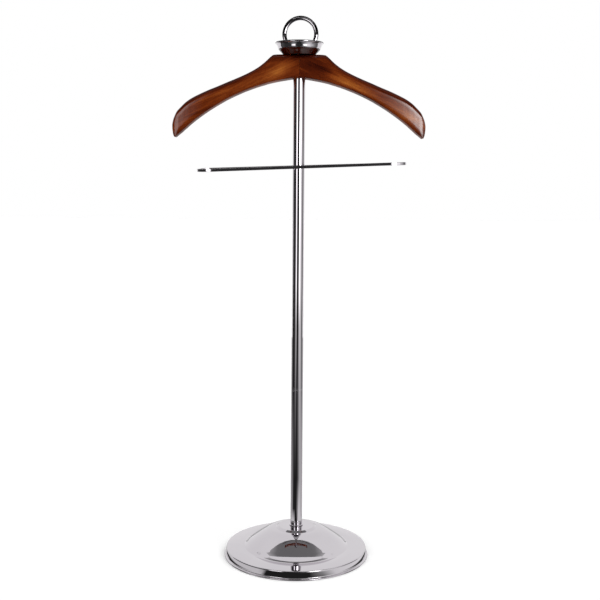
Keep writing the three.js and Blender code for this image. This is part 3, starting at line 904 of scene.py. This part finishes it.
def stageMesh(name, bm, material, onlyReflected=False):
    mesh = bpy.data.meshes.new(name)
    bm.to_mesh(mesh)
    bm.free()
    mesh.materials.append(material)
    item = bpy.data.objects.new(name, mesh)
    scene.collection.objects.link(item)
    if onlyReflected:
        item.visible_camera = item.visible_diffuse = item.visible_shadow = False
        item.visible_transmission = item.visible_volume_scatter = False


# a material without the usual shader, and the socket that takes another
def newBareMaterial(name):
    material, tree, shader = newMaterial(name)
    tree.nodes.remove(shader)
    return material, tree, tree.nodes["Material Output"].inputs["Surface"]


def makeFloor(look):
    material, tree, surface = newBareMaterial("paleFloor")
    mottle = addNoise(tree, addPlace(tree), look["floorMottle"])
    matt = addNode(tree, "ShaderNodeBsdfDiffuse", {
        "Color": addRamp(tree, mottle, look["floorTones"])})
    glow = addNode(tree, "ShaderNodeEmission", {
        "Strength": addMath(tree, "MULTIPLY", addSeen(tree), look["floorGlow"])})
    both = addNode(tree, "ShaderNodeAddShader", {0: matt.outputs[0], 1: glow.outputs[0]})
    tree.links.new(both.outputs[0], surface)
    bm = bmesh.new()
    bmesh.ops.create_grid(bm, x_segments=look["floorCells"], y_segments=look["floorCells"],
                          size=look["floorSize"])
    stageMesh("floor", bm, material)


# the mesh's level attribute glows; turnsDark, if given, is where it fades as it is seen more
# and more edge-on
def makeGlow(name, turnsDark=None):
    material, tree, surface = newBareMaterial(name)
    level = addAttribute(tree, "level")
    if turnsDark:
        facing = addNode(tree, "ShaderNodeLayerWeight").outputs["Facing"]
        level = addMath(tree, "MULTIPLY", level, addRange(tree, facing, 1, 0, *turnsDark))
    glow = addNode(tree, "ShaderNodeEmission", {"Strength": level})
    tree.links.new(glow.outputs[0], surface)
    return material


# degrees round from the camera for a point
def bearing(point):
    angle = degrees(atan2(point.x, -point.y)) - cameraSet["azimuth"]
    return (angle + 180) % 360 - 180


# the level of a table's nearest row, at a point's bearing
def levelAt(table, place, point):
    row = table[min(table, key=lambda key: abs(key - place))]
    angle = bearing(point)
    for (low, first), (high, second) in zip(row, row[1:]):
        if angle <= high:
            share = max(0.0, (angle - low) / (high - low))
            return first + (second - first) * share
    return row[-1][1]


def wallLevel(point):
    return levelAt(wallLevels, point.z, point)


def floorLevel(point):
    return levelAt(floorLevels, hypot(point.x, point.y), point)


# behind the stand the floor is dark close to the base, a painted contact shadow, then changes from
# left to right
def backFloorLevel(point):
    look = studio["backFloor"]
    if hypot(point.x, point.y) < look["darkTo"]:
        return look["dark"]
    share = 0.5 + 0.5 * max(-1.0, min(1.0, point.x / look["reach"]))
    return look["left"] + (look["right"] - look["left"]) * share


# a row of points, joined and turned about the column from one bearing to another
def turnScreen(name, glow, places, start, end, steps, levelOf):
    bm = bmesh.new()
    level = bm.verts.layers.float.new("level")
    verts = [bm.verts.new(place) for place in places]
    for near, far in zip(verts, verts[1:]):
        bm.edges.new((near, far))
    bmesh.ops.rotate(bm, verts=bm.verts, cent=(0, 0, 0),
                     matrix=Matrix.Rotation(radians(start), 3, "Z"))
    bmesh.ops.spin(bm, geom=bm.verts[:] + bm.edges[:], cent=(0, 0, 0), axis=(0, 0, 1),
                   angle=radians(end - start), steps=steps)
    for vert in bm.verts:
        vert[level] = levelOf(vert.co)
    stageMesh(name, bm, glow, onlyReflected=True)


# rows of corners with their levels, joined to a sheet
def makeScreen(name, glow, rows):
    bm = bmesh.new()
    level = bm.verts.layers.float.new("level")
    loops = []
    for row in rows:
        verts = []
        for x, y, z, value in row:
            vert = bm.verts.new((x, y, z))
            vert[level] = value
            verts.append(vert)
        loops.append([bm.edges.new(pair) for pair in zip(verts, verts[1:])])
    for near, far in zip(loops, loops[1:]):
        bmesh.ops.bridge_loops(bm, edges=near + far)
    stageMesh(name, bm, glow, onlyReflected=True)


# a card over the stand; its ends are bowed back and brighter
def makeCeiling(card):
    rows = []
    for deep in range(card["deepSteps"] + 1):
        row = []
        for step in range(-card["sideSteps"], card["sideSteps"] + 1):
            share = step / card["sideSteps"]
            front = card["front"] + card["frontBow"] * share ** 2
            back = card["back"] + card["backBow"] * share ** 2
            edge = max(0.0, abs(share) - card["edgeFrom"]) / (1 - card["edgeFrom"])
            row.append((share * card["half"], back + (front - back) * deep / card["deepSteps"],
                        card["z"], card["level"] + (card["edge"] - card["level"]) * edge))
        rows.append(row)
    makeScreen("reflectedCeiling", makeGlow("ceilingGlow", card["turnsDark"]), rows)


# black above and behind the ring, out of sight of the base
def makeHood(hood, glow):
    bm = bmesh.new()
    level = bm.verts.layers.float.new("level")
    bmesh.ops.create_circle(bm, cap_ends=True, segments=hood["sides"], radius=hood["radius"],
                            matrix=Matrix.Translation((0, 0, hood["top"])))
    for vert in bm.verts:
        vert[level] = hood["level"]
    stageMesh("reflectedHood", bm, glow, onlyReflected=True)
    makeScreen("reflectedSkirt", glow, [
        [(side * hood["skirtHalf"], hood["skirt"], z, value) for side in (-1, 1)]
        for z, value in hood["skirtLevels"].items()])


# a small light in front of the ring
def makeStrip(strip, glow):
    makeScreen("reflectedStrip", glow, [
        [(side * strip["half"], -strip["ahead"], z, strip["level"]) for side in (-1, 1)]
        for z in (strip["low"], strip["high"])])


def makeScreens(look):
    glow = makeGlow("screenGlow")
    start, end = (look[key] + cameraSet["azimuth"] for key in ("wallFrom", "wallTo"))
    steps = look["wallTo"] - look["wallFrom"]
    lift, behind = look["floorLift"], look["backFloor"]
    turnScreen("reflectedWall", glow, [(0, -look["wallRadius"], z) for z in wallLevels],
               start, end, steps, wallLevel)
    turnScreen("reflectedFloor", glow, [(0, -radius, lift) for radius in floorLevels],
               start, end, steps, floorLevel)
    turnScreen("reflectedBackFloor", glow, [(0, -radius, lift) for radius in behind["rings"]],
               end, start + 360, behind["steps"], backFloorLevel)
    makeCeiling(look["ceiling"])
    makeHood(look["hood"], glow)
    makeStrip(look["strip"], glow)


def makeSun(look):
    data = bpy.data.lights.new(look["name"], "SUN")
    data.energy, data.angle = look["strength"], radians(look["spread"])
    sun = bpy.data.objects.new(look["name"], data)
    scene.collection.objects.link(sun)
    turn, lift = radians(look["azimuth"]), radians(look["elevation"])
    toSun = Vector((sin(turn) * cos(lift), -cos(turn) * cos(lift), sin(lift)))
    sun.matrix_world = toSun.to_track_quat("Z", "Y").to_matrix().to_4x4()
    sun.visible_glossy = False


makeWorld(studio)
makeFloor(studio)
makeScreens(studio)
for sun in studio["suns"]:
    makeSun(sun)
scene.view_settings.view_transform = "Standard"
print("studio made")
